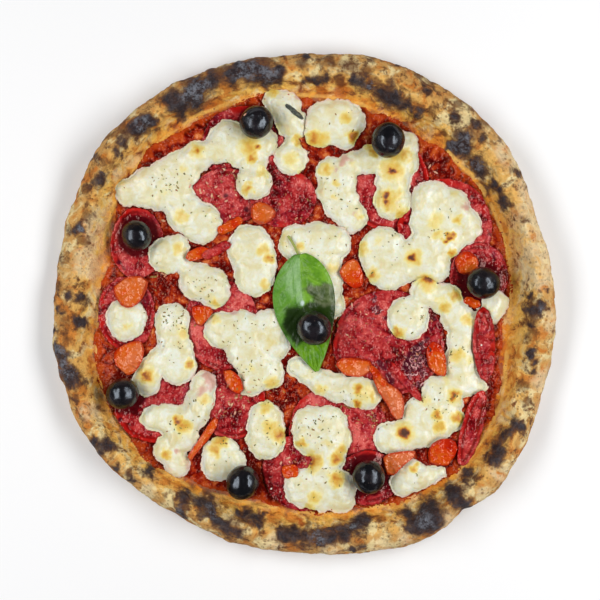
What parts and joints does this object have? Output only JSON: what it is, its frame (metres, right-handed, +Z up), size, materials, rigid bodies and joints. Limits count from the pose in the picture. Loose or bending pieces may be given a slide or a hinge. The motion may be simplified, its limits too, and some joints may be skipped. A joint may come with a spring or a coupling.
{
  "type": "pizza",
  "caption": "Round wood-fired pizza with a puffed, charred crust, tomato sauce, salami slices, melted mozzarella, roasted tomato, black olives and a basil leaf.",
  "frame": {"origin": "on the table, under the middle of the crust", "axes": "+Z up through the pizza, +Y towards the top of the picture and +X towards its right"},
  "size_m": [0.3218, 0.3206, 0.0306],
  "materials": {
    "crust": "matt baked dough",
    "sauce": "moist",
    "salami": "oily",
    "mozzarella": "soft sheen",
    "roasted_tomato": "moist",
    "olive": "glossy",
    "basil": "satin leaf"
  },
  "bodies": {
    "root": {"basil_leaf": "basil", "crust": "crust", "mozzarella_01": "mozzarella", "mozzarella_02": "mozzarella", "mozzarella_03": "mozzarella", "mozzarella_04": "mozzarella", "mozzarella_05": "mozzarella", "mozzarella_06": "mozzarella", "mozzarella_07": "mozzarella", "mozzarella_08": "mozzarella", "mozzarella_09": "mozzarella", "mozzarella_10": "mozzarella", "mozzarella_11": "mozzarella", "mozzarella_12": "mozzarella", "mozzarella_13": "mozzarella", "mozzarella_14": "mozzarella", "mozzarella_15": "mozzarella", "mozzarella_16": "mozzarella", "mozzarella_17": "mozzarella", "mozzarella_18": "mozzarella", "olive_1": "olive", "olive_2": "olive", "olive_3": "olive", "olive_4": "olive", "olive_5": "olive", "olive_6": "olive", "olive_7": "olive", "olive_8": "olive", "salami_01": "salami", "salami_02": "salami", "salami_03": "salami", "salami_04": "salami", "salami_05": "salami", "salami_06": "salami", "salami_07": "salami", "salami_08": "salami", "salami_09": "salami", "salami_10": "salami", "salami_11": "salami", "salami_12": "salami", "salami_13": "salami", "salami_14": "salami", "salami_15": "salami", "salami_16": "salami", "salami_17": "salami", "tomato_01": "roasted_tomato", "tomato_02": "roasted_tomato", "tomato_03": "roasted_tomato", "tomato_04": "roasted_tomato", "tomato_05": "roasted_tomato", "tomato_06": "roasted_tomato", "tomato_07": "roasted_tomato", "tomato_08": "roasted_tomato", "tomato_09": "roasted_tomato", "tomato_10": "roasted_tomato", "tomato_11": "roasted_tomato", "tomato_12": "roasted_tomato", "tomato_13": "roasted_tomato", "tomato_14": "roasted_tomato", "tomato_sauce": "sauce"}
  },
  "joints": []
}
